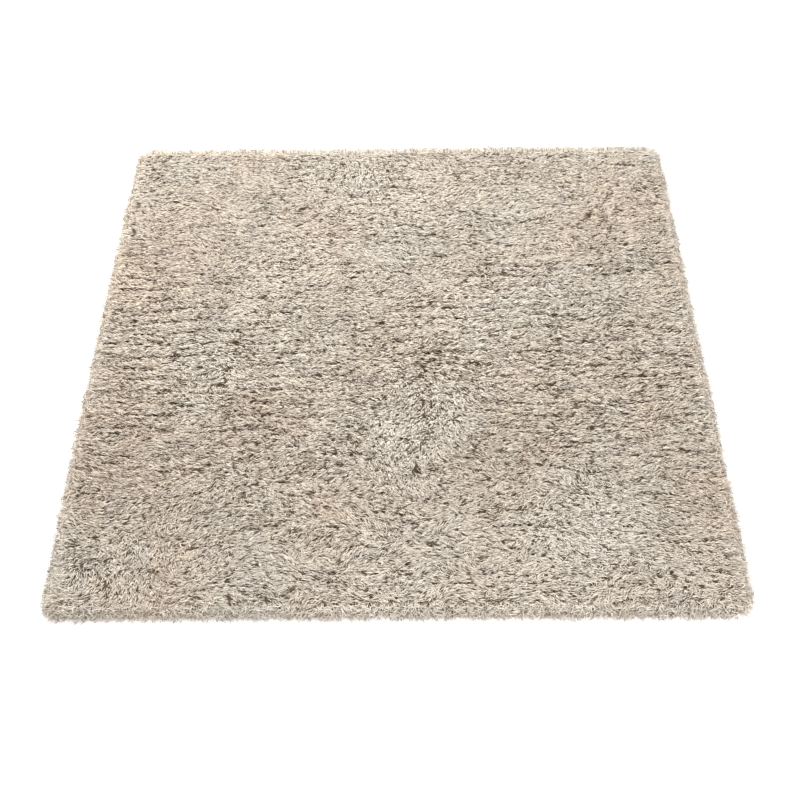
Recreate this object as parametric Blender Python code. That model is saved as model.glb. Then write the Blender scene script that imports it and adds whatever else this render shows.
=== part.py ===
"""A square shag rug, 2 m a side over its pile, lying flat on a floor.

The rug is one solid: a slab as deep as the lying pile, with a flat underside at z = 0. Its top is
lumpy. Rows of tufts run along X, with a furrow between each two, and both wander and fade out.
Locks of yarn fall outward from its rim and lie on the floor. X runs along the tufted rows, the
front edge is at -Y and the origin is the middle of the underside.
"""

import math

import bmesh
import bpy

# Driving dimensions, in metres.
RUG_SIDE = 2.000  # over the tips of the longest rim locks
PILE_HEIGHT = 0.040  # how high the lying pile stands on average along a tufted row
LOCK_REACH = 0.026  # how far the longest lock reaches past the slab's wall
LOCKS_PER_SIDE = 74
CORNER_RADIUS = 0.038  # of the wall, where the pile rounds the cloth's corner

# The slab's wall and the shoulder above it, where the pile starts to fall away.
WALL_HALF = RUG_SIDE / 2 - LOCK_REACH
WALL_HEIGHT = 0.021
SHOULDER_WIDTH = 0.014
SHOULDER_HEIGHT = 0.031
RISE_WIDTH = 0.060  # from the shoulder in to the full height of the pile

# The tufted rows.
ROW_PITCH = 0.055
FURROW_DEPTH = 0.013
ROW_WANDER = 0.011  # how far a row strays to either side of its line
TUFT_CLUMP = 0.0022  # how far the clumps along a row rise above and sink below its line
CLUMP_LENGTH = 0.19
COLUMNS = 30
EDGE_COLUMN = 0.030  # the outer columns are narrower, to follow the rise

# Each tufted row is a front and a back shoulder line and the furrow behind them.
# place: where the line lies across the row, in row pitches.  share: of the furrow's depth.
ROW_LINES = (
    {"place": 0.25, "share": 0.10},
    {"place": 0.58, "share": 0.00},
    {"place": 0.92, "share": 1.00},
)

# Long soft swells that the pile has from being walked on and rolled up.
# along and across: wavelengths in metres.  turn: phase in radians.  height: metres.
SWELLS = (
    {"along": 0.41, "across": 0.93, "turn": 0.4, "height": 0.0024},
    {"along": 0.67, "across": -0.38, "turn": 2.1, "height": 0.0020},
    {"along": 0.23, "across": 0.31, "turn": 4.4, "height": 0.0016},
    {"along": 0.15, "across": -0.19, "turn": 1.2, "height": 0.0012},
)

# A rim lock, from the wall outward.
LOCK_SHARE = 0.72  # of each lock's stretch of wall, the rest is the gap to the next
LOCK_TIP_WIDTH = 0.005
LOCK_TIP_HEIGHT = 0.004
SHORTEST_LOCK = 0.55  # as a share of the longest
LOCK_LEAN = 0.010  # how far a tip strays to either side
GOLDEN = (math.sqrt(5) - 1) / 2  # steps of this spread sizes evenly, with no repeat

YARN_COLOUR = (0.62, 0.53, 0.44, 1.0)
YARN_ROUGHNESS = 0.85


def clear_scene():
    for thing in list(bpy.data.objects):
        bpy.data.objects.remove(thing, do_unlink=True)


def yarn_material():
    material = bpy.data.materials.new("beige_shag_yarn")
    material.use_nodes = True
    shader = material.node_tree.nodes["Principled BSDF"]
    shader.inputs["Base Color"].default_value = YARN_COLOUR
    shader.inputs["Roughness"].default_value = YARN_ROUGHNESS
    shader.inputs["Metallic"].default_value = 0.0
    return material


def swell(x, y):
    """The height of the long soft swells at a point."""
    return sum(
        wave["height"] * math.sin(math.tau * (x / wave["along"] + y / wave["across"]) + wave["turn"])
        for wave in SWELLS
    )


def clump(x, row):
    """The clumps that the tufts of a row fall into. Each row's clumps lie out of step with the last."""
    return TUFT_CLUMP * math.sin(math.tau * x / CLUMP_LENGTH + 2.2 * row)


def wander(x, row):
    """How far a tufted row strays from its line at x. Neighbours stray much alike."""
    slow = math.sin(math.tau * x / 0.83 + 0.35 * row)
    quick = math.sin(math.tau * x / 0.29 + 0.9 * row + 1.0)
    return ROW_WANDER * (0.65 * slow + 0.35 * quick)


def furrow_strength(x, row):
    """0 where the furrow has closed up, 1 where it is open."""
    drift = math.sin(math.tau * x / 0.37 + 2.4 * row) + math.sin(math.tau * x / 0.62 - 1.7 * row)
    return min(max(0.62 + 0.38 * drift, 0.1), 1.0)


def rounded(x, y, half, radius):
    """Moves a point of a square with this half side so that the square's corners become round."""
    inner = half - radius
    over_x = abs(x) - inner
    over_y = abs(y) - inner
    if over_x <= 0 or over_y <= 0:
        return x, y
    shrink = max(over_x, over_y) / math.hypot(over_x, over_y)
    return (
        math.copysign(inner + over_x * shrink, x),
        math.copysign(inner + over_y * shrink, y),
    )


def column_places(half):
    """Where the grid's columns lie: evenly, but for one narrow column at each edge."""
    step = 2 * (half - EDGE_COLUMN) / (COLUMNS - 2)
    middle = [EDGE_COLUMN - half + step * column for column in range(COLUMNS - 1)]
    return [-half, *middle, half]


def row_lines(half):
    """(y, row, share of the furrow's depth) of each line of the grid, front to back."""
    rows = round(2 * half / ROW_PITCH)
    pitch = 2 * half / rows
    lines = [(-half, 0, 0.0)]
    for row in range(rows):
        for line in ROW_LINES:
            y = -half + (row + line["place"]) * pitch
            lines.append((y, row, line["share"]))
    lines.append((half, rows - 1, 0.0))
    return lines


def pile_height(x, y, row, share, half):
    """The slab's height: it rises from the shoulder to the swells, and a furrow cuts into it."""
    inward = min((half - max(abs(x), abs(y))) / RISE_WIDTH, 1.0)
    rise = math.sin(inward * math.pi / 2)
    full = PILE_HEIGHT + swell(x, y) + clump(x, row)
    full -= FURROW_DEPTH * share * furrow_strength(x, row)
    return SHOULDER_HEIGHT + (full - SHOULDER_HEIGHT) * rise


def add_top(mesh):
    """Adds the lumpy top as a grid and returns its edge, anticlockwise from the front left corner."""
    half = WALL_HALF - SHOULDER_WIDTH
    radius = CORNER_RADIUS - SHOULDER_WIDTH
    grid = []
    for y, row, share in row_lines(half):
        line = []
        for x in column_places(half):
            stray = wander(x, row) * min((half - abs(y)) / ROW_PITCH, 1.0)
            at_x, at_y = rounded(x, y + stray, half, radius)
            line.append(mesh.verts.new((at_x, at_y, pile_height(x, y, row, share, half))))
        grid.append(line)
    for front, back in zip(grid, grid[1:]):
        for left in range(COLUMNS):
            right = left + 1
            mesh.faces.new((front[left], front[right], back[right], back[left]))
    front_edge = grid[0][:-1]
    right_edge = [line[-1] for line in grid[:-1]]
    back_edge = grid[-1][:0:-1]
    left_edge = [line[0] for line in grid[:0:-1]]
    return front_edge + right_edge + back_edge + left_edge


def wall_point(along):
    """(place, outward direction) on the wall, at this share of the way round it from the front left.

    Each side runs from the middle of one rounded corner to the middle of the next.
    """
    side = int(along * 4) % 4
    arc = math.pi / 4 * CORNER_RADIUS
    straight = WALL_HALF - CORNER_RADIUS
    run = (along * 4 - int(along * 4)) * 2 * (arc + straight)
    if run < arc:
        angle = run / CORNER_RADIUS - math.pi / 4
        x = -straight + CORNER_RADIUS * math.sin(angle)
    elif run > arc + 2 * straight:
        angle = (run - arc - 2 * straight) / CORNER_RADIUS
        x = straight + CORNER_RADIUS * math.sin(angle)
    else:
        angle = 0.0
        x = run - arc - straight
    y = -straight - CORNER_RADIUS * math.cos(angle)
    outward = (math.sin(angle), -math.cos(angle))
    turn = side * math.pi / 2
    return turned(x, y, turn), turned(*outward, turn)


def turned(x, y, turn):
    return (
        x * math.cos(turn) - y * math.sin(turn),
        x * math.sin(turn) + y * math.cos(turn),
    )


def add_lock(mesh, root, number):
    """Adds a four-sided lock that falls from its stretch of wall out to the floor."""
    locks = 4 * LOCKS_PER_SIDE
    (x, y), (out_x, out_y) = wall_point((number + 0.5) / locks)
    in_side = number % LOCKS_PER_SIDE
    reach = LOCK_REACH * (SHORTEST_LOCK + (1 - SHORTEST_LOCK) * (in_side * GOLDEN % 1))
    if in_side == LOCKS_PER_SIDE // 2:
        reach = LOCK_REACH
    lean = LOCK_LEAN * (2 * (in_side * GOLDEN * GOLDEN % 1) - 1)
    tip = []
    for side, height in ((-1, 0.0), (1, 0.0), (1, LOCK_TIP_HEIGHT), (-1, LOCK_TIP_HEIGHT)):
        sideways = lean + side * LOCK_TIP_WIDTH / 2
        tip.append(
            mesh.verts.new(
                (x + out_x * reach - out_y * sideways, y + out_y * reach + out_x * sideways, height)
            )
        )
    for here in range(4):
        after = (here + 1) % 4
        mesh.faces.new((root[here], root[after], tip[after], tip[here]))
    mesh.faces.new(tip)


def add_wall(mesh):
    """Adds the wall, its locks and the flat underside, and returns the wall's top edge."""
    locks = 4 * LOCKS_PER_SIDE
    floor = []
    top = []
    for number in range(locks):
        for side in (-1, 1):
            (x, y), _ = wall_point((number + 0.5 + side * LOCK_SHARE / 2) / locks)
            floor.append(mesh.verts.new((x, y, 0.0)))
            top.append(mesh.verts.new((x, y, WALL_HEIGHT)))
    for here in range(len(floor)):
        after = (here + 1) % len(floor)
        corners = (floor[here], floor[after], top[after], top[here])
        if here % 2 == 0:
            add_lock(mesh, corners, here // 2)
        else:
            mesh.faces.new(corners)
    mesh.faces.new(floor[::-1])
    return top


def direction(vertex):
    """The angle of a vertex round the rug, from the front left corner."""
    return (math.atan2(vertex.co.y, vertex.co.x) + 3 * math.pi / 4) % math.tau


def join_edges(mesh, outer, inner):
    """Fills the shoulder between two edges with unlike numbers of points, in step round the rug."""
    outside = 0
    inside = 0
    while outside < len(outer) or inside < len(inner):
        a = outer[outside % len(outer)]
        b = inner[inside % len(inner)]
        next_a = outer[(outside + 1) % len(outer)]
        next_b = inner[(inside + 1) % len(inner)]
        angle_a = direction(next_a) if outside + 1 < len(outer) else math.tau
        angle_b = direction(next_b) if inside + 1 < len(inner) else math.tau
        if inside >= len(inner) or (outside < len(outer) and angle_a <= angle_b):
            mesh.faces.new((a, next_a, b))
            outside += 1
        else:
            mesh.faces.new((a, next_b, b))
            inside += 1


def build_rug():
    mesh = bmesh.new()
    inner = add_top(mesh)
    outer = add_wall(mesh)
    join_edges(mesh, outer, inner)
    bmesh.ops.triangulate(mesh, faces=mesh.faces[:])
    bmesh.ops.recalc_face_normals(mesh, faces=mesh.faces[:])
    data = bpy.data.meshes.new("shag_rug")
    mesh.to_mesh(data)
    mesh.free()
    data.shade_smooth()
    data.set_sharp_from_angle(angle=math.radians(50))
    data.materials.append(yarn_material())
    rug = bpy.data.objects.new("shag_rug", data)
    bpy.context.collection.objects.link(rug)
    return rug


clear_scene()
build_rug()
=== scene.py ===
"""A square beige shag rug: soft yarn tufted row by row through a ground cloth, lying flat.

The lower half of the pile is packed tight and is one lumpy bed. Out of it come some 298,000 separate
yarn ends, six to a tuft. They lie over the way the pile has been brushed and part along short
wandering furrows. Round the rim whole strands fall outward from the ground cloth.
Everything is in metres, +Z up, X along the tufted rows and the near edge of the rug at -Y.
"""

import math

import bpy
import numpy as np
from mathutils import Matrix, Vector


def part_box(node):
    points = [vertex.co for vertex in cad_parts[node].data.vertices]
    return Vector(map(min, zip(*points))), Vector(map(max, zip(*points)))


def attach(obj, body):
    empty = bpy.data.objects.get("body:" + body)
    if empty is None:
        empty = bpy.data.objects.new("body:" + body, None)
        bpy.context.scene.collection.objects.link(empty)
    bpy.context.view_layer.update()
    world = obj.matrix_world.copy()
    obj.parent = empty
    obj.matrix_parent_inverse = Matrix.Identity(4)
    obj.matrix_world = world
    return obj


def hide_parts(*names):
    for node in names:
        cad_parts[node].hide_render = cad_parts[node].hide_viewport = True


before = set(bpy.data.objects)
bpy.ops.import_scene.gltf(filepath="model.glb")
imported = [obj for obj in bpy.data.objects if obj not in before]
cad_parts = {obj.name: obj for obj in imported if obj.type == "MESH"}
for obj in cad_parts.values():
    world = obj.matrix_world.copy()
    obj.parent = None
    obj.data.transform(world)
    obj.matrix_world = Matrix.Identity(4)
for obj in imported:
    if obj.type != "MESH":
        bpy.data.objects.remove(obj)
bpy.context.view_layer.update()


def table(columns, *rows):
    """The rows of a table, each as a dictionary from column name to value."""
    names = columns.split()
    return [dict(zip(names, row, strict=True)) for row in rows]


# ---- sizes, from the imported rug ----

rug_low, rug_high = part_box("shag_rug")
RUG_HALF = (rug_high.x - rug_low.x) / 2  # over the tips of the rim yarn
RIM_HANG = 0.026  # how far the rim yarn reaches past the ground cloth
CLOTH_HALF = RUG_HALF - RIM_HANG
CLOTH_THICK = 0.003
FRONT_CORNERS = (0.030, 0.050)  # how round the rug's corners have worn: left, right
BACK_CORNERS = (0.014, 0.032)
LEFT_BOW = 0.006  # how far the middle of the left side stands out of line
FLOOR = 0.0  # the height that the rug lies at
TINY = 1e-9  # nothing is divided by less

# ---- the packed bed ----

BED_DEPTH = 0.028  # up to here the yarn is packed
BED_LEAST = 0.006  # and at least up to here under a parting
BED_INSET = 0.008  # from the ground cloth's edge in to the first packed tuft
BED_RISE = 0.034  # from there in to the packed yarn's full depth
BED_EDGE = 0.10  # how far up that rise the bed's edge already is, as a share
BED_CLEAR_OVER = 0.0005  # the least height of the bed's top over the cloth
BED_CLEAR_UNDER = 0.0003  # between the cloth and the bed's flat underside
RIDGE_HEIGHT = 0.0034  # of the low ridges that run along the rows
RIDGE_STRETCH = 0.35  # a ridge's width as a share of its length
RIDGE_PLAIN = 0.45  # share of a ridge's height that it has everywhere
RIDGE_MIDWAY = 0.55  # and what it gains half way up the rug
CLOTH_GRID = (24, 24)  # faces across and up
BED_GRID = (60, 220)  # many more up the rug, since the furrows run across it

# ---- yarn and tufts ----

YARN_WIDE = 0.0021
YARN_WIDTHS = (0.75, 1.20)  # the thinnest and the thickest yarn, as shares of that
YARN_LIFT = YARN_WIDE * 0.6  # a strand's middle line stays this far over the floor
YARN_ROLL = 0.5  # how far a strand's flat side turns from facing up, in radians
TUFT_GAUGE = 0.0087  # between stitch lines, and between stitches along one
STITCH_STRAY = 0.25  # how far a stitch strays, as a share of the gauge
STITCH_EDGE = 0.002  # no stitch is nearer than this to the edge of its square
ENDS_PER_TUFT = 6
END_SIDEWAYS = 0.0023  # how far apart a tuft's ends come out of the bed, across their heading
END_AHEAD = 0.0030  # and along it
FAN_LENGTH = 0.020  # they fan out as if from a point this far behind the tuft
END_LENGTH = 0.028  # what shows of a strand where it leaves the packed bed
END_LENGTHS = (0.70, 1.15)  # the shortest and the longest, as shares of that
ROOT_DEPTH = 0.002  # a strand starts this far below the top of the bed
ROOT_LEAST = CLOTH_THICK * 0.6  # but no lower than this, inside the ground cloth
TUFT_CURL = 0.25  # how far a whole tuft curls to one side, in radians
TILT_STRAY = 8  # of each stretch of an end, in degrees
TURN_STRAY = 0.12  # of each stretch of an end, in radians
PILE_DEPTH = 0.042  # how high the lying yarn stands where nothing parts it
PILE_UNEVEN = (0.80, 1.08)  # the lowest and the highest yarn, as shares of what the pile allows
PILE_PIECES = 5  # the lying ends are joined meshes, one for each of this many bands of rows
STRAND_NUMBERS = 9973  # a prime: strands are numbered up to here and then again
SEED = 20

# Ends that lie unlike the rest.
SHADED_SHARE = 0.04  # of the ends: they have slipped under their neighbours, into the shade
SHADED_NEAT = 0.1  # where the yarn is neat, only this much of that share
SHADED_TOUSLED = 2.2  # what is added to the 0.1 where it is tousled
SHADED_MIDWAY = 0.6  # how many more there are half way up the rug
SHADED_SINK = 0.0025
PROUD_SHARE = 0.13  # of the ends: fuller ones that lie on top and catch the light
PROUD_RISE = 0.0020
PROUD_WIDER = 0.5

# How much the yarn strays. neat: where strands lie side by side. tousled: what is added where they
# are tousled. In radians, but in degrees for the tilt.
STRAYING = {
    "tuft": {"neat": 0.10, "tousled": 0.25},
    "end": {"neat": 0.06, "tousled": 0.22},
    "curl": {"neat": 0.12, "tousled": 0.35},
    "tilt": {"neat": 2, "tousled": 4},
}

# A lying end is two straight stretches. share: of its length. tilt: degrees from upright.
# wide: its width where the stretch begins, as a share of the yarn's.
LYING_STRETCHES = table(
    "share  tilt  wide",
    (0.62,  64,   0.80),
    (0.38,  84,   1.00),
)

# ---- the rim ----

RIM_ROUND = 0.048  # the pile rounds off over this width inside the rug's outline
RIM_DEPTH = 0.035  # and its top stands this high there
RIM_UNEVEN = (0.72, 1.06)  # the lowest and the highest strand, as shares of that
RIM_GAUGE = 0.0047  # between the whole strands that fall over the rim
RIM_WIDTH = 0.038  # they are rooted this far in from the cloth's edge
RIM_SPAN = 74  # degrees round the edge from the innermost root to the outermost
RIM_LIMIT = 88  # degrees: no strand goes further round, which is just short of the floor
RIM_GROW = (0.70, 1.10)  # the shortest and the longest strand, as shares of its stretches
RIM_STEP = 0.002  # each stretch goes at least this much further out
RIM_WAVER = 0.0012  # how far a strand wavers at each bend
RIM_DRAW = 50  # of its random numbers
LOCK_WIDTH = 0.013  # they hang together in locks about this wide
LOCK_HANG = (-0.007, 0.004)  # how much nearer and further the tips of one lock hang
LOCK_KINDS = 997  # a prime, so that the four sides don't repeat each other's locks
SIDE_SHIFT = 211  # the locks of the next side start this far on
TIP_INSIDE = 0.0175  # from the rug's outline in to a strand's tip, where it lies on the floor
TIP_INSIDE_FRONT = 0.007  # added at the front and taken off at the back
PILE_INSET = 0.004  # from the cloth's edge in to the first end that is brushed like the rest
PILE_FALL = 0.045  # ends this far in from the cloth's edge begin to turn outward
PILE_DROOP = 22  # the outermost of them tilt this many degrees more
DROOP_UNEVEN = (0.6, 1.1)
TURN_OUT = 0.7  # and turn this far towards the edge: 1 is all the way
TURN_OUT_UNEVEN = (0.2, 1.1)
TURN_OUT_PULL = 1.3  # how much stronger the edge's pull is than their own heading

# The rim yarn lies on the rounded edge like thatch. turn: how far round the edge each stretch
# takes it, in degrees, from 0 on its top to 90 at the floor. side: how far it strays sideways.
# wide: as above. together: how far it is drawn to the middle of its lock by the stretch's end.
RIM_STRETCHES = table(
    "turn  side   wide  together",
    (9,    0.007, 0.70, 0.10),
    (18,   0.012, 0.85, 0.30),
    (20,   0.012, 0.75, 0.60),
)

# What differs between the rim's front and back and its left and right. plain: everywhere.
# ends: added at the front and the back. sides: added at the left and the right.
RIM_LOOKS = {
    "stray": {"plain": 1, "ends": 0.45, "sides": 0},  # how much more a strand strays
    "wisps": {"plain": 0.12, "ends": 0, "sides": 0.10},  # share of thin strands that stick out
    "wisp_reach": {"plain": 0.013, "ends": 0, "sides": 0.005},
    "ragged": {"plain": 0.0030, "ends": 0, "sides": 0.0030},  # how uneven the tips are
    "dark": {"plain": 0.11, "ends": 0, "sides": 0.09},  # share of strands in the shade
}
RIM_STRAY_OUTER = 0.42  # how far a strand at the cloth's edge turns aside, in radians
RIM_STRAY_INNER = 0.65  # and how much more the innermost does
WISP_LONGER = 1.2
WISP_WIDTH = 0.6  # as a share of other strands' width

# ---- how the pile lies ----

# Parts of the rug where the pile lies a way of its own.
MIDWAY = {"y": -0.12, "reach": 0.40}  # half way up the rug, where it is walked on most
UNRULY = {"y": -0.20, "over": 0.45}  # in front of this y, where the yarn swirls about
LEFT_PART = {"x": -0.55, "over": 0.25, "y": -0.15, "reach": 0.40}  # where it parts more often

# The yarn parts along lines that wander about X. pitch: between lines. stray: how far a line
# wanders. run: about how long it wanders one way, and how long it stays open. gap: how far the
# yarn is pushed aside. reach: how far from the line that is felt. open: share of it that is open.
# deep: how far the packed bed sinks there. draw: of its random numbers.
PARTINGS = table(
    "pitch  stray  run   gap     reach  open  deep   draw",
    (0.050, 0.015, 0.13, 0.0023, 0.005, 0.33, 0.011, 10),
    (0.022, 0.014, 0.11, 0.0020, 0.004, 0.32, 0.009, 20),
)
PARTING_WAVER = 0.003  # how far each line wavers besides
PARTING_WAVER_GRAIN = 0.02
PARTING_LIKENESS = 0.6  # below 1 lines that are next to each other wander alike
PARTING_APART = 3  # in runs: lines next to each other open at places of their own
PARTING_EASE = 0.6  # how gently a line opens and closes
OPEN_LEFT_PART = 0.25  # how much more the lines open in the left part
OPEN_MIDWAY = 0.36  # and half way up the rug
PARTING_DROP = 1.2  # yarn beside a line sinks this much of what it is pushed aside
PARTING_HOLD = 0.95  # how strictly tufts beside an open line lie along it
PARTING_FELT = 2  # in reaches: how far from the line they do so
PARTING_TOUSLED = 0.004  # yarn is tousled this near to an open line

SLANT_UNRULY = 0.75  # how much more yarn slants across the rows where the pile is unruly
SLANT_MIDWAY = -0.25  # and how much less half way up the rug
TIPS_TO_SIDES = 0.40  # tips point outward more often, the nearer they are to the left or right
TIPS_STRAY = 0.30
TIPS_TO_FRONT = 0.15  # and they all lean a little to the front
TOUSLED_PLAIN = 0.40  # how tousled the yarn is on average
TOUSLED_CLOUDS = 0.8
TOUSLED_MIDWAY = 0.08
TOUSLED_UNRULY = -0.16
WARMTH_PLAIN = 0.34  # how warm the yarn's colour is on average
WARMTH_RIGHT = -0.06  # for each metre to the right
WARMTH_BACK = 0.06  # for each metre to the back
WARMTH_RIM = 0.9  # as a share of the lying yarn's

# Soft random clouds that vary the pile from place to place. size: how strongly. grain: how wide
# their lumps are. draw: of their random numbers.
CLOUDS = table(
    "varies     size  grain  draw",
    ("slant",   0.50, 0.10,  1),
    ("slant",   0.40, 0.034, 2),
    ("tips",    0.45, 0.20,  3),
    ("pile",    0.10, 0.16,  6),
    ("bed",     0.10, 0.11,  7),
    ("warmth",  0.35, 0.22,  8),
    ("warmth",  0.22, 0.06,  12),
    ("tousled", 0.40, 0.060, 9),
    ("tousled", 0.25, 0.020, 10),
    ("unruly",  0.10, 0.20,  11),
    ("locks",   0.25, 0.03,  13),
    ("ridges",  1.0,  0.010, 14),
)
WAVES = 20  # that a cloud is made of
WAVE_LENGTHS = (1.5, 3.6)  # the shortest and the longest, in grains
CLOUD_SPREAD = 0.45  # brings most of a cloud's values between -1 and 1

# Where the pile has been brushed a way of its own. heading: the way the tips point, in degrees,
# 0 to the right and 90 to the back. pull: how strongly. bright: how much it catches the light, or,
# below 0, turns away from it.
BRUSHED = table(
    "x      y      reach heading pull bright",
    (0.05,  -0.27, 0.15, 235,    2.2, 0.75),
    (0.17,  -0.27, 0.09, 310,    1.8, 0.1),
    (-0.36, -0.10, 0.11, 180,    0.0, 0.30),
    (-0.44, 0.20,  0.11, 180,    0.0, 0.35),
    (0.24,  -0.46, 0.16, 180,    0.0, -0.4),
    (-0.43, -0.27, 0.10, 180,    0.0, -0.3),
    (0.02,  -0.48, 0.14, 240,    1.4, 0.3),
    (0.27,  0.16,  0.22, 180,    0.0, 0.5),
    (-0.06, -0.87, 0.17, 180,    0.0, 0.6),
    (0.55,  -0.70, 0.16, 320,    1.5, 0.4),
    (-0.29, 0.86,  0.11, 215,    1.4, 0.6),
    (-0.12, 0.80,  0.12, 230,    1.4, 0.5),
    (0.02,  0.66,  0.30, 180,    0.0, 0.65),
    (-0.34, 0.37,  0.12, 180,    0.0, 0.5),
    (-0.62, -0.03, 0.12, 180,    0.0, 0.35),
    (-0.78, 0.37,  0.10, 180,    0.0, -0.2),
    (-0.84, -0.43, 0.20, 180,    0.0, -0.45),
    (-0.59, -0.14, 0.12, 215,    1.4, 0.3),
    (-0.55, -0.66, 0.18, 228,    1.8, -0.1),
    (-0.75, -0.84, 0.13, 300,    1.8, 0.1),
    (0.90,  -0.75, 0.20, 325,    1.6, 0.0),
    (0.82,  -0.52, 0.22, 180,    0.0, -0.3),
    (0.62,  0.80,  0.25, 180,    0.0, 0.3),
    (0.45,  -0.90, 0.28, 180,    0.0, 0.35),
)

# ---- how light the yarn looks ----

# A strand's painted light is 0 in full shade and 1 in full light. bright, also 0 to 1, is how much
# painted sheen shows on it, where it catches the light. low is how far out of its root's shade a
# strand starts.
END_LIGHT = {
    "plain": 0.87,
    "unruly": -0.04,  # added where the pile is unruly
    "proud": 0.07,  # added to proud ends half way up the rug
    "turned_away": 0.35,  # times a brushed patch's brightness, where that is below 0
    "over_edge": 0.10,  # added at the rim
    "tuft_varies": 0.05,  # from tuft to tuft
    "end_varies": 0.08,  # and from end to end
    "varies_midway": 0.9,  # how much more it varies half way up the rug
    "varies_unruly": 0.8,  # and where the pile is unruly, left of varies_left_of
    "varies_left_of": 0.5,
    "least": 0.3,
    "most": 0.95,
    "most_midway": 0.05,  # added to that half way up the rug
    "shaded": (0.0, 0.25),  # least and most of the ends that are in the shade
    "catching_bright": 0.16,  # of ends that catch the light half way up the rug
    "over_edge_bright": 0.2,  # painted sheen added at the rim
    "over_edge_low": 0.3,  # at the rim, and 0 elsewhere
}
# For the rim strands the bright entries add painted sheen and painted light to the colour.
RIM_LIGHT = {
    "varies": 0.16,  # how much less than the most it is, usually
    "least": 0.3,
    "most": 1.0,
    "dark": 0.15,  # of the strands in the shade
    "bright": 0.10,
    "glow_bright": 0.15,  # painted light added for the outermost strands
    "front_bright": 0.75,  # and added to that at the front, which faces the light
    "wisp_bright": 0.2,
    "loose": 0.3,
    "low": 0.40,
}


# ---- small helpers ----


def linear(hex_colour):
    """An sRGB hex colour as the linear RGBA that shaders take."""
    parts = [int(hex_colour[start : start + 2], 16) / 255 for start in (1, 3, 5)]
    return (*[c / 12.92 if c <= 0.04045 else ((c + 0.055) / 1.055) ** 2.4 for c in parts], 1.0)


def eased(value):
    """0 below 0, 1 above 1 and a smooth rise between."""
    value = np.clip(value, 0.0, 1.0)
    return value * value * (3 - 2 * value)


def hump(value, middle, reach):
    """1 at the middle, falling off smoothly on both sides of it."""
    return np.exp(-(((value - middle) / reach) ** 2))


def soft_noise(x, y, grain, draw):
    """Smooth random values, mostly from -1 to 1, at these places, in lumps about grain wide."""
    random = np.random.default_rng(SEED + draw)
    angle = random.uniform(0, math.tau, WAVES)
    length = grain * random.uniform(*WAVE_LENGTHS, WAVES)
    turn = random.uniform(0, math.tau, WAVES)
    x = np.asarray(x, float)
    total = np.zeros(np.broadcast(x, y).shape)
    for number in range(WAVES):
        along = x * math.cos(angle[number]) + y * math.sin(angle[number])
        total += np.cos(math.tau * along / length[number] + turn[number])
    return total * CLOUD_SPREAD * math.sqrt(2 / WAVES)


def clouds(x, y, quality):
    """How the clouds vary this quality of the pile at these places."""
    return sum(
        cloud["size"] * soft_noise(x, y, cloud["grain"], cloud["draw"])
        for cloud in CLOUDS
        if cloud["varies"] == quality
    )


def corner_radius(x, y):
    """How round the corner of the rug nearest to each place is."""
    front = np.where(x < 0, *FRONT_CORNERS)
    back = np.where(x < 0, *BACK_CORNERS)
    return np.where(y < 0, front, back)


def inside_outline(x, y, half):
    """How far inside a square of this half side, with the rug's round corners, each place lies."""
    corner = corner_radius(x, y)
    over_x = np.abs(x) - (half - corner)
    over_y = np.abs(y) - (half - corner)
    outside = np.hypot(np.maximum(over_x, 0), np.maximum(over_y, 0))
    return corner - outside - np.minimum(np.maximum(over_x, over_y), 0)


def unit(vectors):
    """These vectors, which run along the last axis, at a length of 1."""
    return vectors / np.maximum(np.linalg.norm(vectors, axis=-1, keepdims=True), TINY)


def outward(x, y):
    """The unit direction to the nearest edge of the ground cloth."""
    corner = corner_radius(x, y)
    over_x = np.abs(x) - (CLOTH_HALF - corner)
    over_y = np.abs(y) - (CLOTH_HALF - corner)
    in_corner = (over_x > 0) & (over_y > 0)
    to_x = np.where(in_corner, over_x, (over_x >= over_y) * 1.0)
    to_y = np.where(in_corner, over_y, (over_x < over_y) * 1.0)
    length = np.maximum(np.hypot(to_x, to_y), TINY)
    return np.sign(x) * to_x / length, np.sign(y) * to_y / length


def out_of_true(x, y):
    """Where a place of the true square lies on this rug, whose left side bows out a little."""
    along = np.clip(1 - (y / CLOTH_HALF) ** 2, 0, 1)
    return x - LEFT_BOW * along * np.clip(-x / CLOTH_HALF, 0, 1) ** 2


# ---- the lie of the pile at any place ----


def midway(y):
    """1 half way up the rug, and 0 at the front and the back."""
    return hump(y, MIDWAY["y"], MIDWAY["reach"])


def unruly(x, y):
    """0 where the yarn lies along the rows, 1 where it swirls about: towards the front edge."""
    return eased((UNRULY["y"] - y + clouds(x, y, "unruly")) / UNRULY["over"])


def to_parting(x, y, kind):
    """(signed distance to the nearest line of this kind, how far open it is there)."""
    stray = kind["stray"] * soft_noise(x, y * PARTING_LIKENESS, kind["run"], kind["draw"])
    stray = stray + PARTING_WAVER * soft_noise(x, y, PARTING_WAVER_GRAIN, kind["draw"] + 2)
    line = (y + stray) / kind["pitch"]
    nearest = np.round(line)
    opened = soft_noise(x, nearest * kind["run"] * PARTING_APART, kind["run"], kind["draw"] + 1)
    left = eased((LEFT_PART["x"] - x) / LEFT_PART["over"]) * hump(y, LEFT_PART["y"], LEFT_PART["reach"])
    more = OPEN_LEFT_PART * left + OPEN_MIDWAY * midway(y)
    share = eased((opened + more + 2 * kind["open"] - 1) / PARTING_EASE + 0.5)
    return (line - nearest) * kind["pitch"], share


def along_partings(x, y):
    """(how near an open parting each place is, 0 to 1; how the parting slopes there)."""
    step = 0.004  # along X, to a second place that shows the slope
    near = np.zeros_like(x)
    slope = np.zeros_like(x)
    for kind in PARTINGS:
        distance, share = to_parting(x, y, kind)
        further, _ = to_parting(x + step, y, kind)
        half = kind["pitch"] / 2
        rise = (distance - further + half) % kind["pitch"] - half
        felt = share * hump(distance, 0, PARTING_FELT * kind["reach"])
        slope = np.where(felt > near, rise / step, slope)
        near = np.maximum(near, felt)
    return near, slope


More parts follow.
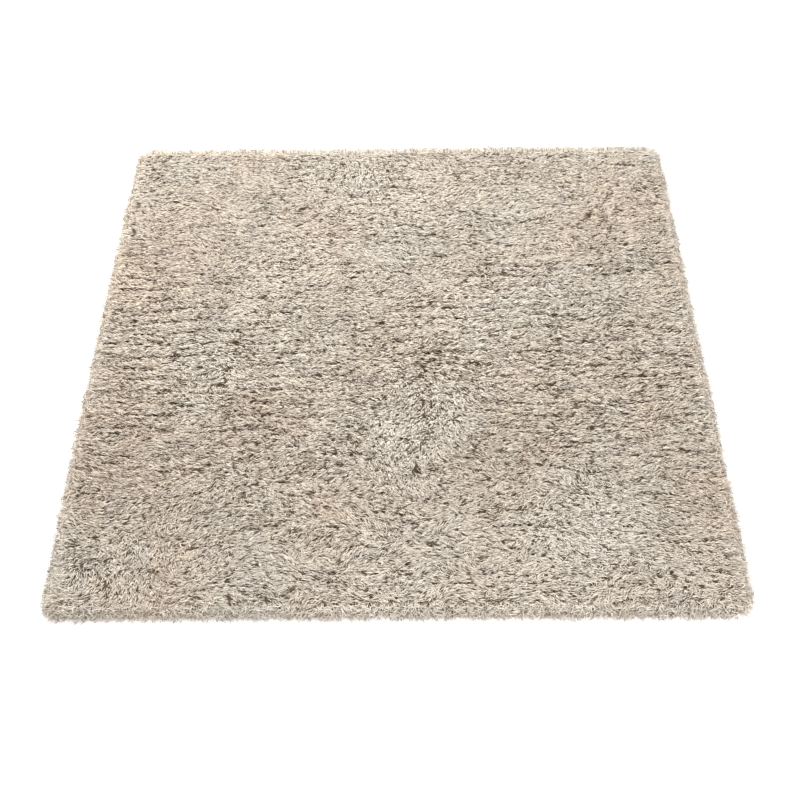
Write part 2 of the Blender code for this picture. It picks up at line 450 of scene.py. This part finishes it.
def brushing(x, y, random):
    """(heading in radians, brightness) of the pile at each place."""
    slant = clouds(x, y, "slant") * (1 + SLANT_UNRULY * unruly(x, y) + SLANT_MIDWAY * midway(y))
    side = TIPS_TO_SIDES * x + clouds(x, y, "tips") + random.normal(0, TIPS_STRAY, np.shape(x))
    way = np.where(side < 0, -1.0, 1.0)
    along_x = way * np.cos(slant)
    ahead = way * np.sin(slant) - TIPS_TO_FRONT
    bright = np.zeros_like(x)
    for patch in BRUSHED:
        near = np.exp(-((x - patch["x"]) ** 2 + (y - patch["y"]) ** 2) / patch["reach"] ** 2)
        angle = math.radians(patch["heading"])
        along_x = along_x + patch["pull"] * near * math.cos(angle)
        ahead = ahead + patch["pull"] * near * math.sin(angle)
        bright = bright + patch["bright"] * near
    return np.arctan2(ahead, along_x), bright


def tousled(x, y):
    """0 where the strands lie neatly side by side, 1 where they are tousled and gaps open."""
    value = TOUSLED_PLAIN + TOUSLED_CLOUDS * clouds(x, y, "tousled")
    value = eased(value + TOUSLED_MIDWAY * midway(y) + TOUSLED_UNRULY * unruly(x, y))
    for kind in PARTINGS:
        distance, share = to_parting(x, y, kind)
        value = np.maximum(value, share * hump(distance, 0, PARTING_TOUSLED))
    return value


def pile_limit(x, y):
    """How high the pile may stand: it rounds off towards the rug's outline."""
    inside = np.clip(inside_outline(x, y, RUG_HALF) / RIM_ROUND, 0, 1)
    return PILE_DEPTH * (1 + clouds(x, y, "pile")) * np.sqrt(np.maximum(1 - (1 - inside) ** 2, 0))


def bed_top(x, y):
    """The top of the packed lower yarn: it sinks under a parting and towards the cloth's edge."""
    height = BED_DEPTH * (1 + clouds(x, y, "bed"))
    ridges = clouds(RIDGE_STRETCH * x, y, "ridges") * (RIDGE_PLAIN + RIDGE_MIDWAY * midway(y))
    height = height + RIDGE_HEIGHT * ridges
    for kind in PARTINGS:
        distance, share = to_parting(x, y, kind)
        height = height - kind["deep"] * share * hump(distance, 0, kind["reach"])
    rise = eased(BED_EDGE + inside_outline(x, y, CLOTH_HALF - BED_INSET) / BED_RISE)
    return CLOTH_THICK + BED_CLEAR_OVER + (np.maximum(height, BED_LEAST) - CLOTH_THICK) * rise


def parted(points):
    """Pushes yarn aside and down along the partings, the more the further it is from its root."""
    x, y, z = points[..., 0], points[..., 1], points[..., 2]
    push = np.zeros_like(y)
    drop = np.zeros_like(y)
    for kind in PARTINGS:
        distance, share = to_parting(x, y, kind)
        felt = share * np.exp(-np.abs(distance) / kind["reach"])
        push += np.where(distance < 0, -1, 1) * kind["gap"] * felt
        drop += PARTING_DROP * kind["gap"] * felt
    loose = np.clip(z / PILE_DEPTH, 0, 1)
    points[..., 1] = y + push * loose
    points[..., 2] = z - drop * loose
    return points


def warmth(x, y):
    """How warm the yarn's colour is, 0 to 1: warmer to the back left, in soft clouds."""
    return np.clip(WARMTH_PLAIN + WARMTH_RIGHT * x + WARMTH_BACK * y + clouds(x, y, "warmth"), 0, 1)


# ---- strands ----


def stitches(gauge, half, random):
    """Where the tufts are stitched: in lines along X, each stitch a little out of line."""
    count = round(2 * half / gauge)
    column, line = np.meshgrid(np.arange(count), np.arange(count))
    step = 2 * half / count
    staggered = 0.25 * (line % 2 * 2 - 1)  # each line is half a stitch on from the last
    x = (column + 0.5 + staggered) * step - half
    y = (line + 0.5) * step - half
    x = x + random.uniform(-STITCH_STRAY, STITCH_STRAY, x.shape) * step
    y = y + random.uniform(-STITCH_STRAY, STITCH_STRAY, y.shape) * step
    inside = inside_outline(x, y, half) > STITCH_EDGE
    return x[inside], y[inside]


def straying(name, astray):
    """How much the yarn strays where it is this astray, 0 to 1."""
    return STRAYING[name]["neat"] + STRAYING[name]["tousled"] * astray


def turned_out(heading, x, y, fall):
    """Headings turned towards the nearest edge of the cloth: fall 0 not at all, 1 all the way."""
    out_x, out_y = outward(x, y)
    return np.arctan2(
        np.sin(heading) * (1 - fall) + out_y * fall * TURN_OUT_PULL,
        np.cos(heading) * (1 - fall) + out_x * fall * TURN_OUT_PULL,
    )


def grown(root, heading, curl, length, extra_tilt, random):
    """Points (strand, station, xyz) of lying ends that leave their roots and bend over."""
    count = len(root)
    stations = [root]
    for number, stretch in enumerate(LYING_STRETCHES):
        tilt = np.radians(stretch["tilt"] + extra_tilt + random.normal(0, TILT_STRAY, count))
        curled = curl * (number - 0.5)  # before the bend to one side, after it to the other
        turn = heading + curled + random.normal(0, TURN_STRAY, count)
        level = np.sin(tilt)
        go = np.stack([np.cos(turn) * level, np.sin(turn) * level, np.cos(tilt)], 1)
        stations.append(stations[-1] + go * (length * stretch["share"])[:, None])
    return np.stack(stations, 1)


def widths(count, stretches, random):
    """Half widths (strand, station) at all stations but the tips."""
    half = YARN_WIDE / 2 * random.uniform(*YARN_WIDTHS, count)
    return half[:, None] * np.array([stretch["wide"] for stretch in stretches])[None, :]


def held_down(points, random):
    """Keeps yarn under the pile's rounded shape and over the floor."""
    uneven = random.uniform(*PILE_UNEVEN, len(points))[:, None]
    limit = pile_limit(points[..., 0], points[..., 1]) * uneven
    height = np.minimum(points[:, 1:, 2], limit[:, 1:])
    points[:, 1:, 2] = np.maximum(height, YARN_LIFT)
    return points


def tuft_lie(x, y, random):
    """(heading, brightness, looseness, how far astray) of the tufts at these places."""
    heading, bright = brushing(x, y, random)
    loose = tousled(x, y)
    near, slope = along_partings(x, y)
    near = PARTING_HOLD * near
    way = np.where(np.cos(heading) < 0, -1.0, 1.0)
    heading = np.arctan2(
        (1 - near) * np.sin(heading) + near * way * slope,
        (1 - near) * np.cos(heading) + near * way,
    )
    astray = loose * (1 - near)
    heading = heading + random.normal(0, 1, len(x)) * straying("tuft", astray)
    return heading, bright, loose, astray


def end_light(x, y, proud, bright, over_edge, tuft_varies, end_varies):
    """How light each lying end looks where it isn't shaded."""
    look = END_LIGHT
    varied = look["varies_midway"] * midway(y)
    varied = 1 + varied + look["varies_unruly"] * unruly(x, y) * eased(look["varies_left_of"] - x)
    light = look["plain"] + look["unruly"] * unruly(x, y) + look["proud"] * proud * midway(y)
    light = light + (look["tuft_varies"] * tuft_varies + look["end_varies"] * end_varies) * varied
    light = light + look["turned_away"] * np.minimum(bright, 0) + look["over_edge"] * over_edge
    return np.clip(light, look["least"], look["most"] + look["most_midway"] * midway(y))


def lying_ends():
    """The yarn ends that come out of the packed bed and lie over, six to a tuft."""
    random = np.random.default_rng(SEED)
    tuft_x, tuft_y = stitches(TUFT_GAUGE, CLOTH_HALF - PILE_INSET, random)
    tufts = len(tuft_x)
    count = tufts * ENDS_PER_TUFT

    def each(values):
        return np.repeat(values, ENDS_PER_TUFT)

    heading, bright, loose, astray = map(each, tuft_lie(tuft_x, tuft_y, random))
    sideways = random.normal(0, END_SIDEWAYS, count)
    ahead = random.normal(0, END_AHEAD, count)
    x = each(tuft_x) + np.cos(heading) * ahead - np.sin(heading) * sideways
    y = each(tuft_y) + np.sin(heading) * ahead + np.cos(heading) * sideways
    heading = heading + sideways / FAN_LENGTH + random.normal(0, 1, count) * straying("end", astray)
    curl = each(random.normal(0, TUFT_CURL, tufts))
    curl = curl + random.normal(0, 1, count) * straying("curl", astray)
    curl = curl * (1 + unruly(x, y))
    tilt = each(random.normal(0, 1, tufts)) * straying("tilt", loose)
    length = END_LENGTH * random.uniform(*END_LENGTHS, count)

    # Near the rim the pile has less to lean on and turns outward.
    over_edge = eased(1 - inside_outline(x, y, CLOTH_HALF) / PILE_FALL)
    turn_out = TURN_OUT * over_edge * random.uniform(*TURN_OUT_UNEVEN, count)
    heading = turned_out(heading, x, y, turn_out)
    tilt = tilt + PILE_DROOP * over_edge * random.uniform(*DROOP_UNEVEN, count)

    shaded_share = SHADED_SHARE * (SHADED_NEAT + SHADED_TOUSLED * loose)
    shaded_share = shaded_share * (1 + SHADED_MIDWAY * midway(y))
    shaded = random.uniform(0, 1, count) < shaded_share
    catching = each(random.uniform(0, 1, tufts) ** 2) + random.uniform(0, 1, count) ** 2
    catching = END_LIGHT["catching_bright"] * midway(y) * catching
    proud = ~shaded & (random.uniform(0, 1, count) < PROUD_SHARE)

    root_z = bed_top(x, y) - ROOT_DEPTH - SHADED_SINK * shaded + PROUD_RISE * proud
    points = grown(np.stack([x, y, root_z], 1), heading, curl, length, tilt, random)
    points = held_down(parted(points), random)
    points[..., 0] = out_of_true(points[..., 0], points[..., 1])
    tuft_varies = each(random.normal(0, 1, tufts))
    end_varies = random.normal(0, 1, count)
    light = end_light(x, y, proud, bright, over_edge, tuft_varies, end_varies)
    return {
        "points": points,
        "widths": widths(count, LYING_STRETCHES, random) * (1 + PROUD_WIDER * proud)[:, None],
        "light": np.where(shaded, random.uniform(*END_LIGHT["shaded"], count), light),
        "bright": np.clip(bright + catching + END_LIGHT["over_edge_bright"] * over_edge, 0, 1),
        "loose": loose,
        "warm": warmth(x, y),
        "low": END_LIGHT["over_edge_low"] * over_edge,
    }


def in_locks(x, y, out_x, out_y, random):
    """(how far sideways each strand is from the middle of its lock, how far out that lock hangs)."""
    side = np.round(np.arctan2(out_y, out_x) / (math.pi / 2))
    place = (y * out_x - x * out_y) / LOCK_WIDTH + clouds(x, y, "locks")
    lock = np.round(place)
    hangs = random.uniform(*LOCK_HANG, LOCK_KINDS)
    return (lock - place) * LOCK_WIDTH, hangs[((lock + SIDE_SHIFT * side) % LOCK_KINDS).astype(int)]


def rim_look(name, out_x, out_y):
    """A look of the rim strands that fall this way."""
    look = RIM_LOOKS[name]
    return look["plain"] + look["ends"] * np.abs(out_y) + look["sides"] * np.abs(out_x)


def rim_strands():
    """Whole strands that lie over the rug's rounded edge like thatch, down to the floor."""
    random = np.random.default_rng(SEED + RIM_DRAW)
    x, y = stitches(RIM_GAUGE, CLOTH_HALF, random)
    inside = inside_outline(x, y, CLOTH_HALF)
    at_rim = inside < RIM_WIDTH
    x, y, inside = x[at_rim], y[at_rim], inside[at_rim]
    count = len(x)
    out = outward(x, y)
    out_x, out_y = out
    together, hang = in_locks(x, y, out_x, out_y, random)
    inner = inside / RIM_WIDTH
    stray = random.normal(0, 1, count) * (RIM_STRAY_OUTER + RIM_STRAY_INNER * inner)
    stray = stray * rim_look("stray", *out)
    wisp = random.uniform(0, 1, count) < rim_look("wisps", *out)
    grow = random.uniform(*RIM_GROW, count) * np.where(wisp, WISP_LONGER, 1.0)
    high = RIM_DEPTH * (1 + clouds(x, y, "pile")) * random.uniform(*RIM_UNEVEN, count)
    tip_inside = TIP_INSIDE - TIP_INSIDE_FRONT * out_y - hang
    tip_inside = tip_inside + random.normal(0, 1, count) * rim_look("ragged", *out)
    tip_inside = tip_inside - rim_look("wisp_reach", *out) * wisp
    angle = RIM_SPAN * (1 - inner)
    aside = np.zeros(count)
    gone = np.zeros(count)
    root_z = np.maximum(bed_top(x, y) - ROOT_DEPTH, ROOT_LEAST)
    stations = [np.stack([x, y, root_z], 1)]
    for stretch in RIM_STRETCHES:
        angle = np.minimum(angle + stretch["turn"] * grow * np.cos(stray), RIM_LIMIT)
        across = RIM_ROUND - (RIM_ROUND - tip_inside) * np.sin(np.radians(angle))
        gone = np.maximum(inside + RUG_HALF - CLOTH_HALF - across, gone + RIM_STEP)
        aside = aside + np.sin(stray) * stretch["side"] * grow + random.normal(0, RIM_WAVER, count)
        over = aside + stretch["together"] * together
        z = np.maximum(high * np.cos(np.radians(angle)), YARN_LIFT)
        at_x = x + out_x * gone - out_y * over
        at_y = y + out_y * gone + out_x * over
        stations.append(np.stack([at_x, at_y, z], 1))
    points = np.stack(stations, 1)
    points[..., 0] = out_of_true(points[..., 0], points[..., 1])
    look = RIM_LIGHT
    light = look["most"] - look["varies"] * np.abs(random.normal(0, 1, count))
    light = np.clip(light, look["least"], look["most"])
    dark = random.uniform(0, 1, count) < rim_look("dark", *out)
    # painted light on the outermost rim strands, most at the front
    glow = (look["glow_bright"] + look["front_bright"] * np.clip(-out_y, 0, 1)) * (1 - inner) ** 2
    half_widths = widths(count, RIM_STRETCHES, random) * np.where(wisp, WISP_WIDTH, 1.0)[:, None]
    bright = brushing(x, y, random)[1] + look["bright"] + glow + look["wisp_bright"] * wisp
    return {
        "points": points,
        "widths": half_widths,
        "light": np.where(dark, look["dark"], light),
        "bright": np.clip(bright, 0, 1),
        "loose": np.full(count, look["loose"]),
        "warm": WARMTH_RIM * warmth(x, y),
        "low": np.full(count, look["low"]),
    }


# ---- meshes ----


def strip_corners(points, half_widths, roll):
    """Left and right corners at each station but the last, which is the strand's tip."""
    along = unit(points[:, 1:] - points[:, :-1])
    tangent = along.copy()
    tangent[:, 1:] += along[:, :-1]
    tangent = unit(tangent)
    left = unit(np.stack([-tangent[..., 1], tangent[..., 0], np.zeros(tangent.shape[:2])], 2))
    over = np.cross(tangent, left)
    turn = roll[:, None, None]
    side = (left * np.cos(turn) + over * np.sin(turn)) * half_widths[..., None]
    middle = points[:, :-1]
    return np.stack([middle + side, middle - side], 2)


def strip_faces(stations):
    """The triangles of one strand, by its corner numbers: two a station, then the tip."""
    faces = []
    for left in range(0, 2 * stations - 2, 2):
        faces += [(left, left + 1, left + 3), (left, left + 3, left + 2)]
    tip = stations * 2
    faces.append((tip - 2, tip - 1, tip))
    return np.array(faces)


def mesh_object(name, corners, faces, material):
    """An object from arrays of corners and triangles, shaded smooth."""
    mesh = bpy.data.meshes.new(name)
    mesh.vertices.add(len(corners))
    mesh.vertices.foreach_set("co", corners.astype(np.float32).ravel())
    mesh.loops.add(faces.size)
    mesh.loops.foreach_set("vertex_index", faces.astype(np.int32).ravel())
    mesh.polygons.add(len(faces))
    mesh.polygons.foreach_set("loop_start", np.arange(0, faces.size, 3, dtype=np.int32))
    mesh.update(calc_edges=True)
    mesh.shade_smooth()
    mesh.materials.append(material)
    piece = bpy.data.objects.new(name, mesh)
    bpy.context.scene.collection.objects.link(piece)
    return piece


def note(piece, name, values):
    """Stores a number for each corner of a piece, for its material to read."""
    layer = piece.data.attributes.new(name, "FLOAT", "POINT")
    layer.data.foreach_set("value", values.astype(np.float32).ravel())


def lay_out(piece, count, stations, faces):
    """Gives each strand a small upright cell, with a margin, on the piece's texture map."""
    columns = math.ceil(math.sqrt(count * 4))
    rows = math.ceil(count / columns)
    cell = np.arange(count)
    left = (cell % columns) / columns
    low = (cell // columns) / rows
    across = np.append(np.tile([0.0, 1.0], stations), 0.5)
    up = np.append(np.repeat(np.arange(stations), 2), stations) / stations
    u = left[:, None, None] + (0.1 + 0.8 * across[faces])[None] / columns
    v = low[:, None, None] + (0.05 + 0.9 * up[faces])[None] / rows
    layer = piece.data.uv_layers.new(name="OFBake")
    layer.uv.foreach_set("vector", np.stack([u, v], -1).astype(np.float32).ravel())


def strand_piece(name, made, chosen, material):
    """One piece of the pile: the strands of these numbers as one joined mesh of narrow strips."""
    points = made["points"][chosen]
    half_widths = made["widths"][chosen]
    count, stations = half_widths.shape
    roll = np.random.default_rng(count).normal(0, YARN_ROLL, count)
    rows = strip_corners(points, half_widths, roll).reshape(count, -1, 3)
    corners = np.concatenate([rows, points[:, -1:]], 1)
    corners[..., 2] = np.maximum(corners[..., 2], FLOOR)
    one_strand = strip_faces(stations)
    per_strand = corners.shape[1]
    faces = one_strand[None] + np.arange(count)[:, None, None] * per_strand
    piece = mesh_object(name, corners.reshape(-1, 3), faces.reshape(-1, 3), material)
    along = np.minimum(np.arange(per_strand) // 2, stations) / stations
    low = made["low"][chosen][:, None]
    note(piece, "along", (low + (1 - low) * along).ravel())
    note(piece, "across", np.tile(np.append(np.tile([-1.0, 1.0], stations), 0.0), count))
    note(piece, "strand", np.repeat(chosen % STRAND_NUMBERS, per_strand))
    for quality in ("light", "bright", "loose", "warm"):
        note(piece, quality, np.repeat(made[quality][chosen], per_strand))
    lay_out(piece, count, stations, one_strand)
    return piece


def slab(name, half, grid, top, bottom, material):
    """A closed slab over a square with the rug's round corners: a grid on top, a flat face below."""
    u, v = np.meshgrid(np.linspace(-1, 1, grid[0] + 1), np.linspace(-1, 1, grid[1] + 1))
    inner = 1 - corner_radius(u, v) / half
    over_u = np.maximum(np.abs(u) - inner, 0)
    over_v = np.maximum(np.abs(v) - inner, 0)
    both = (over_u > 0) & (over_v > 0)
    shrink = np.where(both, np.maximum(over_u, over_v) / np.maximum(np.hypot(over_u, over_v), TINY), 1)
    x = half * np.sign(u) * (np.minimum(np.abs(u), inner) + over_u * shrink)
    y = half * np.sign(v) * (np.minimum(np.abs(v), inner) + over_v * shrink)
    number = np.arange(x.size).reshape(x.shape)
    a, b, c, d = number[:-1, :-1], number[:-1, 1:], number[1:, 1:], number[1:, :-1]
    up = [np.stack(corners, 2).reshape(-1, 3) for corners in ((a, b, c), (a, c, d))]
    rim = np.concatenate([number[0, :-1], number[:-1, -1], number[-1, :0:-1], number[:0:-1, 0]])
    upper = np.stack([out_of_true(x, y), y, top(x, y)], 2).reshape(-1, 3)
    foot = upper[rim].copy()
    foot[:, 2] = bottom
    under = number.size + np.arange(len(rim))
    after = np.roll(under, -1)
    rim_after = np.roll(rim, -1)
    middle = np.full(len(rim), number.size + len(rim))
    wall_and_bottom = ((under, after, rim_after), (under, rim_after, rim), (middle, after, under))
    faces = np.concatenate(up + [np.stack(corners, 1) for corners in wall_and_bottom])
    corners = np.concatenate([upper, foot, [(0.0, 0.0, bottom)]])
    return mesh_object(name, corners, faces, material)


# ---- materials ----


def add(tree, kind, values=None, links=None, **settings):
    """Adds a node with its settings, the values of its inputs and the outputs that feed them."""
    made = tree.nodes.new(kind)
    for name, value in settings.items():
        setattr(made, name, value)
    for name, value in (values or {}).items():
        made.inputs[name].default_value = value
    for name, source in (links or {}).items():
        tree.links.new(source, made.inputs[name])
    return made


def empty_material(name):
    material = bpy.data.materials.new(name)
    material.use_nodes = True
    material.node_tree.nodes.clear()
    return material, material.node_tree


def blend(tree, share, first, second):
    """The colour that lies this share of the way from the first to the second."""
    values = {}
    links = {}
    for socket, value in ((0, share), (6, first), (7, second)):
        if isinstance(value, bpy.types.NodeSocket):
            links[socket] = value
        else:
            values[socket] = value
    return add(tree, "ShaderNodeMix", values, links, data_type="RGBA").outputs[2]


def bulked_polyester_yarn():
    """Bulked polyester shag yarn, heat set and cut: matte with a faint fibre sheen.

    The eye sees pale strands that run together, with small dark flecks of painted shade where a strand
    has slipped into the shade of its neighbours, browner roots of painted shade, since light hardly
    reaches down there, and a painted sheen where the pile catches the light. The yarn's colour is a
    little warmer in some places than in others.
    """
    cool_tone = linear("#c7c0b4")
    warm_tone = linear("#cdbdaa")
    # painted sheen: the paler colour of yarn that catches the light
    painted_sheen = linear("#dbd5c9")
    in_shade = linear("#4f381f")
    at_root = linear("#49341d")
    full_shine = 0.8  # how far the brightest yarn takes the colour of its painted sheen
    fleck_scale = (3.6, 0.35, 7.3)  # along a strand, across it, and from strand to strand
    fleck_noise = {"From Min": 0.22, "From Max": 0.29}  # the noise that paints shade where a strand dips: lower is darker
    fleck_where_loose = -0.15  # flecks are more common where the yarn is loose
    root_shade = {"From Min": 0.16, "From Max": 0.42}  # shares of a strand's length, from its root
    fibre_scale = 900.0  # fibres 1 mm apart, much coarser than the real 0.03 mm, so that they show

    material, tree = empty_material("bulked_polyester_yarn")
    note_of = {
        name: add(tree, "ShaderNodeAttribute", attribute_name=name).outputs["Fac"]
        for name in ("along", "across", "strand", "light", "bright", "loose", "warm")
    }
    toned = blend(tree, note_of["warm"], cool_tone, warm_tone)
    # painted sheen laid over the yarn's colour, as far as its bright share
    catch = add(
        tree,
        "ShaderNodeMath",
        operation="MULTIPLY",
        values={1: full_shine},
        links={0: note_of["bright"]},
    )
    with_painted_sheen = blend(tree, catch.outputs[0], toned, painted_sheen)
    spot = add(
        tree,
        "ShaderNodeCombineXYZ",
        links={"X": note_of["along"], "Y": note_of["across"], "Z": note_of["strand"]},
    )
    stretched = add(
        tree,
        "ShaderNodeMapping",
        values={"Scale": fleck_scale},
        links={"Vector": spot.outputs["Vector"]},
    )
    flecks = add(
        tree,
        "ShaderNodeTexNoise",
        values={"Scale": 1.0, "Detail": 0.0},
        links={"Vector": stretched.outputs["Vector"]},
    )
    loosened = add(
        tree,
        "ShaderNodeMath",
        operation="MULTIPLY_ADD",
        values={1: fleck_where_loose},
        links={0: note_of["loose"], 2: flecks.outputs["Fac"]},
    )
    unflecked = add(tree, "ShaderNodeMapRange", values=fleck_noise, links={"Value": loosened.outputs[0]})
    shown = add(
        tree,
        "ShaderNodeMath",
        operation="MULTIPLY",
        links={0: note_of["light"], 1: unflecked.outputs["Result"]},
    )
    # painted shade, by the strand's light and its flecks
    lit = blend(tree, shown.outputs[0], in_shade, with_painted_sheen)
    up = add(tree, "ShaderNodeMapRange", values=root_shade, links={"Value": note_of["along"]})
    coloured = blend(tree, up.outputs["Result"], at_root, lit)
    place = add(tree, "ShaderNodeTexCoord").outputs["Object"]
    fibres = add(
        tree,
        "ShaderNodeTexNoise",
        values={"Scale": fibre_scale, "Detail": 1.0},
        links={"Vector": place},
    )
    bump = add(
        tree,
        "ShaderNodeBump",
        values={"Strength": 0.25, "Distance": 0.0006},
        links={"Height": fibres.outputs["Fac"]},
    )
    shader = add(
        tree,
        "ShaderNodeBsdfPrincipled",
        values={
            "Roughness": 0.78,
            "Specular IOR Level": 0.25,
            "Sheen Weight": 0.2,
            "Sheen Roughness": 0.45,
        },
        links={"Base Color": coloured, "Normal": bump.outputs["Normal"]},
    )
    add(tree, "ShaderNodeOutputMaterial", links={"Surface": shader.outputs["BSDF"]})
    return material


def packed_yarn():
    """The same bulked polyester yarn, packed tight below the ends.

    The eye sees short matte streaks, in the deep shade of the strands above: that shade is painted
    into its colour, darker still where the yarn is tousled.
    """
    streak = (0.016, 0.0030, 0.0060)  # a strand in it: long along the rows and one yarn wide
    # painted shade: colours of the same yarn deep in the shade of the strands above
    shade_between_strands = linear("#392e22")
    shaded_strand_side = linear("#6a5a46")
    shade_under_parting = linear("#32281d")

    material, tree = empty_material("packed_polyester_yarn")
    place = add(tree, "ShaderNodeTexCoord").outputs["Object"]
    stretched = add(
        tree,
        "ShaderNodeMapping",
        values={"Scale": tuple(1 / size for size in streak)},
        links={"Vector": place},
    )
    streaks = add(
        tree,
        "ShaderNodeTexNoise",
        values={"Scale": 1.0, "Detail": 1.5},
        links={"Vector": stretched.outputs["Vector"]},
    )
    colours = add(tree, "ShaderNodeValToRGB", links={"Fac": streaks.outputs["Fac"]})
    for number, position, colour in ((0, 0.40, shade_between_strands), (1, 0.66, shaded_strand_side)):
        colours.color_ramp.elements[number].position = position
        colours.color_ramp.elements[number].color = colour
    # painted deeper shade where the yarn is tousled, as along the open partings
    loose = add(tree, "ShaderNodeAttribute", attribute_name="loose").outputs["Fac"]
    deep = add(
        tree,
        "ShaderNodeMapRange",
        values={"From Min": 0.45, "From Max": 0.95, "To Max": 0.9},
        links={"Value": loose},
    )
    coloured = blend(tree, deep.outputs["Result"], colours.outputs["Color"], shade_under_parting)
    bump = add(
        tree,
        "ShaderNodeBump",
        values={"Strength": 1.0, "Distance": 0.003},
        links={"Height": streaks.outputs["Fac"]},
    )
    shader = add(
        tree,
        "ShaderNodeBsdfPrincipled",
        values={"Roughness": 0.85, "Specular IOR Level": 0.2},
        links={"Base Color": coloured, "Normal": bump.outputs["Normal"]},
    )
    add(tree, "ShaderNodeOutputMaterial", links={"Surface": shader.outputs["BSDF"]})
    return material


def woven_backing():
    """Plain-woven cotton and jute backing: it looks matte, a square grid of oatmeal threads."""
    thread = 0.0035  # drawn coarser than the real 2 mm, to show from a step away
    bands_per_metre = math.tau / (20 * thread)  # the wave node draws a band every tau / 20 units
    between_threads = linear("#8f8069")
    thread_top = linear("#cbbd9f")

    material, tree = empty_material("woven_cotton_backing")
    place = add(tree, "ShaderNodeTexCoord").outputs["Object"]
    waves = []
    for direction in ("X", "Y"):
        wave = add(
            tree,
            "ShaderNodeTexWave",
            values={"Scale": bands_per_metre, "Distortion": 0.6, "Detail": 1.0},
            links={"Vector": place},
            bands_direction=direction,
        )
        waves.append(wave.outputs["Fac"])
    weave = add(tree, "ShaderNodeMath", operation="MULTIPLY", links={0: waves[0], 1: waves[1]})
    coloured = blend(tree, weave.outputs[0], between_threads, thread_top)
    bump = add(
        tree,
        "ShaderNodeBump",
        values={"Strength": 0.6, "Distance": 0.001},
        links={"Height": weave.outputs[0]},
    )
    shader = add(
        tree,
        "ShaderNodeBsdfPrincipled",
        values={"Roughness": 0.9, "Specular IOR Level": 0.2},
        links={"Base Color": coloured, "Normal": bump.outputs["Normal"]},
    )
    add(tree, "ShaderNodeOutputMaterial", links={"Surface": shader.outputs["BSDF"]})
    return material


# ---- the studio ----

FLOOR_HALF = 12.0
FLOOR_DROP = 0.0008  # below the rug's underside, so that the two don't flicker together

# power in watts; size: the side of the square softbox
SOFTBOXES = table(
    "name             place             aim           size power colour",
    ("back_softbox",  (-1.3, 2.2, 3.4), (0, 0.2, 0),  1.6, 248,  "#fffdf8"),
    ("front_softbox", (1.4, -3.1, 2.8), (0, -0.2, 0), 2.4, 98,   "#fbf9f8"),
)
AIR_COLOUR = "#f8f9fb"
AIR_STRENGTH = 1.31

# The camera: lens and film in millimetres, angles in degrees.
FILM_WIDTH = 36.0
LENS = 51.0
CAMERA_PLACE = (0.042, -2.421, 2.819)
CAMERA_DOWN = 51.96
CAMERA_TURN = 0.88
CAMERA_ROLL = -1.03


def pale_floor():
    """A matte painted floor, nearly white."""
    material, tree = empty_material("pale_studio_floor")
    shader = add(
        tree,
        "ShaderNodeBsdfPrincipled",
        values={"Base Color": linear("#f4f4f3"), "Roughness": 0.9, "Specular IOR Level": 0.1},
    )
    add(tree, "ShaderNodeOutputMaterial", links={"Surface": shader.outputs["BSDF"]})
    corners = FLOOR_HALF * np.array([(-1, -1, 0), (1, -1, 0), (1, 1, 0), (-1, 1, 0)], float)
    floor = mesh_object("studio_floor", corners, np.array([(0, 1, 2), (0, 2, 3)]), material)
    floor.location.z = FLOOR - FLOOR_DROP


def soft_light(softbox):
    """A square softbox at its place, turned to face its aim."""
    light = bpy.data.lights.new(softbox["name"], "AREA")
    light.size = softbox["size"]
    light.energy = softbox["power"]
    light.color = linear(softbox["colour"])[:3]
    box = bpy.data.objects.new(softbox["name"], light)
    box.location = softbox["place"]
    box.rotation_euler = (box.location - Vector(softbox["aim"])).to_track_quat("Z", "Y").to_euler()
    bpy.context.scene.collection.objects.link(box)


def studio():
    world = bpy.data.worlds.new("studio_air")
    world.use_nodes = True
    air = world.node_tree.nodes["Background"]
    air.inputs["Color"].default_value = linear(AIR_COLOUR)
    air.inputs["Strength"].default_value = AIR_STRENGTH
    bpy.context.scene.world = world
    bpy.context.scene.view_settings.view_transform = "Standard"
    for softbox in SOFTBOXES:
        soft_light(softbox)


def camera():
    """Looks down at the rug from in front, as far off and as steeply as the photograph does."""
    eye = bpy.data.cameras.new("photo_eye")
    eye.sensor_width = FILM_WIDTH
    eye.lens = LENS
    seat = bpy.data.objects.new("photo_eye", eye)
    seat.location = CAMERA_PLACE
    turn = Matrix.Rotation(math.radians(CAMERA_TURN), 4, "Z")
    tilt = Matrix.Rotation(math.radians(90 - CAMERA_DOWN), 4, "X")
    roll = Matrix.Rotation(math.radians(CAMERA_ROLL), 4, "Z")
    seat.rotation_euler = (turn @ tilt @ roll).to_euler()
    bpy.context.scene.collection.objects.link(seat)
    bpy.context.scene.camera = seat


# ---- the rug ----


def cloth_top(x, y):
    """The ground cloth's flat top."""
    return np.full(np.shape(x), CLOTH_THICK)


def build_rug():
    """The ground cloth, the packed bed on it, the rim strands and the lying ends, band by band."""
    yarn = bulked_polyester_yarn()
    cloth = slab("ground_cloth", CLOTH_HALF, CLOTH_GRID, cloth_top, FLOOR, woven_backing())
    bed_half = CLOTH_HALF - BED_INSET
    bed_bottom = CLOTH_THICK + BED_CLEAR_UNDER
    bed = slab("packed_pile_bed", bed_half, BED_GRID, bed_top, bed_bottom, packed_yarn())
    spots = np.array([corner.co for corner in bed.data.vertices])
    # the bed's painted shade is deeper where the yarn is tousled
    note(bed, "loose", tousled(spots[:, 0], spots[:, 1]))
    ends = lying_ends()
    rim = rim_strands()
    pieces = [bed, strand_piece("rim_strands", rim, np.arange(len(rim["light"])), yarn)]
    root_y = ends["points"][:, 0, 1]
    edges = np.quantile(root_y, np.linspace(0, 1, PILE_PIECES + 1))
    band = np.clip(np.searchsorted(edges, root_y, side="right") - 1, 0, PILE_PIECES - 1)
    for number in range(PILE_PIECES):
        chosen = np.flatnonzero(band == number)
        pieces.append(strand_piece(f"pile_rows_{number + 1}", ends, chosen, yarn))
    for piece in [cloth, *pieces]:
        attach(piece, "root")
        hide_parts("shag_rug")


build_rug()
pale_floor()
studio()
camera()
